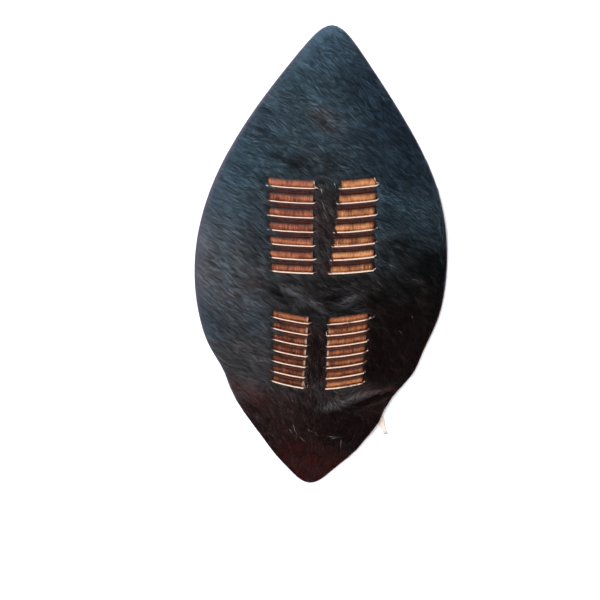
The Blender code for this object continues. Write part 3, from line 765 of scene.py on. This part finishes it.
def plantHairs(random, x, y, tufts, scale):  # where each hair's tip lies, its height, tone and warmth
    dirX, dirY, length, height, tone, warmth = coatAt(x, y)
    count = len(x)
    found = [tufts["tree"].find_n((a, b, 0), 7) for a, b in zip(x, y)]
    nearest = np.array([[one[1] for one in seven] for seven in found])
    awayX, awayY = x[:, None] - tufts["x"][nearest], y[:, None] - tufts["y"][nearest]
    along = awayX * dirX[:, None] + awayY * dirY[:, None]
    across = awayY * dirX[:, None] - awayX * dirY[:, None]
    best = np.argmin((along / coat["tuftLong"]) ** 2 + across ** 2, axis=1)
    mine = nearest[np.arange(count), best]
    across = abs(across[np.arange(count), best])
    turn = tufts["turn"][mine] + random.normal(0, coat["hairTurn"], count)
    length = length * random.uniform(*coat["lengths"], count) * scale
    tipX, tipY = x + np.cos(turn) * length, y + np.sin(turn) * length
    tuftTipX = tufts["x"][mine] + np.cos(tufts["turn"][mine]) * tufts["length"][mine] * scale
    tuftTipY = tufts["y"][mine] + np.sin(tufts["turn"][mine]) * tufts["length"][mine] * scale
    lean = coat["clump"] * random.uniform(0.4, 1.0, count)
    tipX, tipY = tipX + (tuftTipX - tipX) * lean, tipY + (tuftTipY - tipY) * lean
    edge = smoothStep(*coat["tuftEdge"], across)  # the hair between two tufts lies lower, and is darker as painted shade
    height = height * tufts["height"][mine] * random.uniform(0.4, 1.2, count) * (1 - 0.45 * edge)
    tone = tone + tufts["tone"][mine] - 0.3 * edge + random.normal(0, coat["hairTone"], count)
    return tipX, tipY, height, tone, warmth


def shorten(x, y, tipX, tipY, overhang):  # cuts a hair short before it crosses a pale edge, a strip or the rim
    share = np.full(len(x), 0.1)
    steps = 12
    for tried in np.arange(0.15, 1.01, 0.05):
        over = np.zeros(len(x))
        crossed = np.zeros(len(x), bool)
        goX, goY = (tipX - x) * tried, (tipY - y) * tried
        reach = np.hypot(tipX - x, tipY - y) * tried
        for k in range(1, steps + 1):
            r, c = cellsAt(x + goX * k / steps, y + goY * k / steps)
            over += (kindMap[r, c] > 1) * reach / steps
            crossed |= lipMap[r, c]
        good = (over <= overhang) & ~crossed & (outward(x + goX, y + goY) < coat["rimKeep"])
        share = np.where(good, tried, share)
    return share


def growHairs(random, lock, x, y, tipX, tipY, height, width):  # copies of the lock from root to tip
    pattern, faces = lock
    count = len(x)
    root = np.stack([x, y, heightAt(heightMap, x, y) - coat["rooted"]], 1)
    tipPlain = heightAt(plainMap, tipX, tipY)
    ground = np.maximum(heightAt(heightMap, tipX, tipY), tipPlain - 1.5 * mm)  # hair bridges the cuts
    level = heightAt(heightMap, x, y) + tipPlain - heightAt(plainMap, x, y)
    ground = np.maximum(ground, level - 1.0 * mm)
    run = np.stack([tipX, tipY, ground + height + 0.2 * mm], 1) - root
    size = np.linalg.norm(run, axis=1, keepdims=True)
    side = np.cross(domeNormal(x, y), run)
    side /= np.linalg.norm(side, axis=1, keepdims=True) + 1e-12
    up = np.cross(run / size, side)
    bulge = np.clip(size * random.uniform(0.05, 0.12, (count, 1)), 0.3 * mm, 1.6 * mm)
    curl = size * random.normal(0, 0.04, (count, 1))
    t = pattern[:, 2]
    arch = (4 * t * (1 - t))[None, :, None]
    line = root[:, None] + run[:, None] * t[None, :, None]
    line = line + up[:, None] * arch * bulge[:, None] + side[:, None] * arch * curl[:, None]
    across = pattern[:, 0][None, :, None] * width[:, None, None] * side[:, None]
    thick = pattern[:, 1][None, :, None] * (width * coat["flat"])[:, None, None] * up[:, None]
    points = (line + across + thick).reshape(-1, 3)
    points[:, 2] = np.maximum(points[:, 2], 0.15 * mm)  # off the floor
    starts = np.arange(count) * len(pattern)
    return points, (faces[None] + starts[:, None, None]).reshape(-1, 3), np.tile(t, count)


def hairGroup(lock, grown, tone, warmth):  # one batch of hairs, with tone and warmth for each of their points
    points, faces, along = grown
    each = len(lock[0])
    tone, warmth = np.repeat(tone, each), np.repeat(warmth, each)
    return {"lock": lock, "points": points, "faces": faces, "along": along, "tone": tone, "warmth": warmth}


def hairMap(groups):  # every hair gets a cell of its own in a square grid
    counts = [len(g["points"]) // len(g["lock"][0]) for g in groups]
    across = math.ceil(math.sqrt(sum(counts)))
    places, done = [], 0
    for g, count in zip(groups, counts):
        cell = np.arange(done, done + count)
        corner = np.stack([cell % across, cell // across], 1)[:, None, None, :]
        places.append(((corner + 0.04 + 0.92 * cornersOf(g["lock"])[None]) / across).reshape(-1, 2))
        done += count
    return np.concatenate(places)


def makeHairPiece(name, groups, material):
    points = np.concatenate([g["points"] for g in groups])
    starts = np.cumsum([0] + [len(g["points"]) for g in groups])
    faces = np.concatenate([g["faces"] + s for g, s in zip(groups, starts)])
    mesh = bpy.data.meshes.new(name)
    mesh.vertices.add(len(points))
    mesh.vertices.foreach_set("co", points.astype(np.float32).ravel())
    mesh.loops.add(faces.size)
    mesh.loops.foreach_set("vertex_index", faces.astype(np.int32).ravel())
    mesh.polygons.add(len(faces))
    mesh.polygons.foreach_set("loop_start", np.arange(0, faces.size, 3, dtype=np.int32))
    mesh.polygons.foreach_set("use_smooth", np.ones(len(faces), bool))
    setAttributes(mesh, **{key: np.concatenate([g[key] for g in groups]) for key in ("along", "tone", "warmth")})
    mesh.update(calc_edges=True)
    mesh.uv_layers.new(name="OFBake").data.foreach_set("uv", hairMap(groups).astype(np.float32).ravel())
    mesh.materials.append(material)
    piece = bpy.data.objects.new(name, mesh)
    bpy.context.scene.collection.objects.link(piece)
    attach(piece, "root")
    print(name, len(faces), "triangles")


def hairMaterial():  # cow's hair: smooth and black, with painted sheen in slate blue where it takes the light, maroon low down
    material, tree, shader = newMaterial("black_cow_hair")
    tone = addNode(tree, "ShaderNodeAttribute", {"attribute_name": "tone"}).outputs["Fac"]
    along = addNode(tree, "ShaderNodeAttribute", {"attribute_name": "along"}).outputs["Fac"]
    lit = addNode(tree, "ShaderNodeMath", timesPlus, i0=tone, i1=0.55, i2=0.25).outputs[0]
    # painted shade: the hair is darker at its root, where the hairs shade one another, and paler toward the tip
    share = addNode(tree, "ShaderNodeMath", clampedTimesPlus, i0=along, i1=0.2, i2=lit).outputs[0]
    setInputs(tree, shader, Base_Color=coatColour(tree, share), Roughness=0.52, IOR=1.55)
    setInputs(tree, shader, Specular_IOR_Level=0.1)  # the hairs shade one another
    return material


def region(x, y):  # which piece of the coat a hair belongs to
    names = np.where(x > coat["sideFrom"], "coat_right", "coat_middle")
    names = np.where(x < -coat["sideFrom"], "coat_left", names)
    return np.where(y > coat["topFrom"], "coat_top", np.where(y < coat["bottomFrom"], "coat_bottom", names))


def growCoat(random):  # locks under single hairs, for each piece of the coat
    tufts = makeTufts(random)
    groups = {}
    for lock, every, width, scale in (
        (bentLock, coat["lockEvery"], coat["lockWidth"], 0.95),
        (straightHair, coat["hairEvery"], coat["hairWidth"], 1.0),
    ):
        x, y = scatter(random, every, 0.152, 0.314)
        r, c = cellsAt(x, y)
        keep = (kindMap[r, c] == 1) & ~wideLip[r, c] & (outward(x, y) < coat["rimRoots"]) & ~barShare(x, y)
        x, y = x[keep], y[keep]
        tipX, tipY, height, tone, warmth = plantHairs(random, x, y, tufts, scale)
        share = shorten(x, y, tipX, tipY, coat["overhang"])
        tipX, tipY = x + (tipX - x) * share, y + (tipY - y) * share
        height *= np.clip(share * 1.2, 0.3, 1)
        wide = width * np.clip(np.exp(random.normal(0, 0.3, len(x)) + 0.3 * (tone + 0.1)), 0.5, 2.2)
        names = region(x, y)
        for name in np.unique(names):
            part = names == name
            grown = growHairs(random, lock, *[values[part] for values in (x, y, tipX, tipY, height, wide)])
            groups.setdefault(str(name), []).append(hairGroup(lock, grown, tone[part], warmth[part]))
    return groups


# short worn hair on the bars between the rows, which hangs a little over the strip below
barHair = {
    "every": 0.66 * mm,
    "turn": (-1.5, 0.3),      # down the shield, and how much it strays
    "length": (4.0, 9.0), "height": (0.1, 0.7), "width": (0.5, 1.0),  # least and most, in mm
    "overhang": (0.3, 2.0, 5.0),  # least, usual and most, in mm
    "tone": (0.05, 0.3), "warmth": (0.85, 0.1),
    "lengthShare": (0.8, 0.35), "overhangShare": (0.7, 0.3),  # in the upper and the lower blocks
}


def growBars(random):
    x, y = scatter(random, barHair["every"], 0.07, 0.16)
    r, c = cellsAt(x, y)
    keep = (kindMap[r, c] == 1) & ~wideLip[r, c] & barShare(x, y) & ~rubbedBare(x, y)
    x, y = x[keep], y[keep]
    count = len(x)
    turn = random.normal(*barHair["turn"], count)
    length = random.uniform(*barHair["length"], count) * mm * np.where(y > 0, *barHair["lengthShare"])
    tipX, tipY = x + np.cos(turn) * length, y + np.sin(turn) * length
    overhang = random.triangular(*barHair["overhang"], count) * mm * np.where(y > 0, *barHair["overhangShare"])
    share = shorten(x, y, tipX, tipY, overhang)
    tipX, tipY = x + (tipX - x) * share, y + (tipY - y) * share
    height, width = random.uniform(*barHair["height"], count) * mm, random.uniform(*barHair["width"], count) * mm
    grown = growHairs(random, straightHair, x, y, tipX, tipY, height, width)
    tone, warmth = random.normal(*barHair["tone"], count), random.normal(*barHair["warmth"], count)
    return hairGroup(straightHair, grown, tone, warmth)


def makeCoat():
    random = np.random.default_rng(coat["seed"])
    groups = growCoat(random)
    groups["coat_bars"] = [growBars(random)]
    coatHair = hairMaterial()
    for name, batches in groups.items():
        makeHairPiece(name, batches, coatHair)


makeCoat()

# slivers of the cut edge that stand up at the ends of some slits: from, to, width, in mm
slivers = [
    (-12.5, 149, -10.5, 140, 1.3), (-11, 140.5, -4, 138, 1.4), (-4.5, 138.5, -2, 133, 1.2), (9.5, 148, 13, 139, 1.2),
    (54.5, 152, 58, 144.5, 1.3), (57, 145, 62, 144, 1.2), (17.5, 74, 20, 69, 0.8), (21, 72.5, 19.5, 68.5, 0.7),
    (-13.5, -119, -9.5, -131, 0.7), (-9, -122, -8.5, -131.5, 0.6), (11, -44, 11.5, -52, 0.9), (35, -28, 37, -36, 0.5),
]
# pale stray hairs lying on the coat: from, to, width, in mm
strayHairs = [
    (15, -214, 45, -219, 0.5), (38, -222, 39, -252, 0.6), (24, -221, 34, -216, 0.4), (-32, -202, -20, -218, 0.5),
    (-25, -194, -12, -222, 0.5), (-16, -216, -4, -226, 0.4), (-8, -200, 4, -204, 0.4), (2, -206, 12, -212, 0.4),
    (-40, 22, -4, -6, 0.5), (-30, 20, 2, -12, 0.4), (-18, 4, 4, -20, 0.5), (24, -8, 40, 6, 0.5), (30, -6, 46, 2, 0.4),
    (74, 46, 92, 36, 0.5), (104, 22, 118, 16, 0.6), (-3, 126, 7, 104, 0.4),
    (62, -30, 70, -22, 0.4), (64, 24, 76, 12, 0.4), (96, 112, 112, 102, 0.4),
    (-66, 158, -58, 152, 0.4), (112, -30, 116, -40, 0.4), (98, -52, 104, -60, 0.4),
]


def layLoose(name, rows, height, material):
    random = np.random.default_rng(19)
    x, y, tipX, tipY, width = np.array(rows).T * mm
    plain = np.zeros(len(rows))  # neither pale nor warm
    grown = growHairs(random, bentLock, x, y, tipX, tipY, plain + height, width)
    makeHairPiece(name, [hairGroup(bentLock, grown, plain, plain)], material)


def sliverMaterial():  # dry curls of rawhide, pale as the cut edges
    material, tree, shader = newMaterial("rawhide_slivers")
    place = addNode(tree, "ShaderNodeTexCoord").outputs["Object"]
    fibre = addNode(tree, "ShaderNodeTexNoise", Vector=place, Scale=600.0, Detail=2.0).outputs["Fac"]
    colour = setRamp(addNode(tree, "ShaderNodeValToRGB", Fac=fibre), [(0.35, skin["rawShade"]), (0.6, skin["raw"])])
    setInputs(tree, shader, Base_Color=colour, Roughness=0.6)
    return material


def greyHairMaterial():  # a few long white and grey hairs
    material, tree, shader = newMaterial("grey_cow_hair")
    place = addNode(tree, "ShaderNodeTexCoord").outputs["Object"]
    patches = addNode(tree, "ShaderNodeTexNoise", Vector=place, Scale=60.0, Detail=1.0).outputs["Fac"]
    colour = setRamp(addNode(tree, "ShaderNodeValToRGB", Fac=patches), [(0.35, "#6f6560"), (0.65, "#a3988f")])
    setInputs(tree, shader, Base_Color=colour, Roughness=0.45)
    return material


layLoose("cut_slivers", slivers, 3.0 * mm, sliverMaterial())
layLoose("stray_hairs", strayHairs, 2.6 * mm, greyHairMaterial())


# floor, light and camera
stageSet = {
    "floor": "#fbfbfa", "sky": "#e8eef5", "skyStrength": 0.3,
    "lamps": (  # name, place, size, power, colour
        ("window_light", (-0.9, 1.3, 1.6), 1.5, 110, "#e6f0ff"),
        ("fill_light", (1.3, -0.7, 1.5), 1.8, 16, "#fff0e2"),
    ),
}


def makeStage():
    bpy.ops.object.select_all(action="DESELECT")
    bpy.ops.mesh.primitive_plane_add(size=12, location=(0, 0, 0))
    floor = bpy.context.object
    floor.name = "floor"
    material, tree, shader = newMaterial("pale_floor")
    shader.inputs["Base Color"].default_value = linear(stageSet["floor"])
    shader.inputs["Roughness"].default_value = 0.9
    floor.data.materials.append(material)
    world = bpy.data.worlds.new("studio")
    world.use_nodes = True
    world.node_tree.nodes["Background"].inputs["Color"].default_value = linear(stageSet["sky"])
    world.node_tree.nodes["Background"].inputs["Strength"].default_value = stageSet["skyStrength"]
    bpy.context.scene.world = world
    for name, place, size, power, colour in stageSet["lamps"]:
        light = bpy.data.lights.new(name, "AREA")
        light.size, light.energy = size, power
        light.color = linear(colour)[:3]
        lamp = bpy.data.objects.new(name, light)
        lamp.location = place
        lamp.rotation_euler = (-Vector(place)).to_track_quat("-Z", "Y").to_euler()
        bpy.context.scene.collection.objects.link(lamp)


view = {
    "tilt": 30.0, "roll": 2.9, "distance": 1.360, "focus": (0, 0, 0.015), "lens": 68.52, "shift": (-0.0323, -0.0247),
}


def makeCamera():
    tilt, roll = math.radians(view["tilt"]), math.radians(view["roll"])
    focus = Vector(view["focus"])
    back = Vector((0, math.sin(tilt), math.cos(tilt)))
    up = Vector((0, math.cos(tilt), -math.sin(tilt)))
    right = (-back).cross(up)
    rolledRight = right * math.cos(roll) + up * math.sin(roll)
    rolledUp = up * math.cos(roll) - right * math.sin(roll)
    data = bpy.data.cameras.new("camera")
    data.lens, data.sensor_width = view["lens"], 36
    data.shift_x, data.shift_y = view["shift"]
    camera = bpy.data.objects.new("camera", data)
    turn = Matrix((rolledRight, rolledUp, back)).transposed()
    camera.matrix_world = Matrix.Translation(focus + back * view["distance"]) @ turn.to_4x4()
    bpy.context.scene.collection.objects.link(camera)
    bpy.context.scene.camera = camera


makeStage()
makeCamera()
print("floor, light and camera are set")
bpy.context.scene.view_settings.view_transform = "Standard"
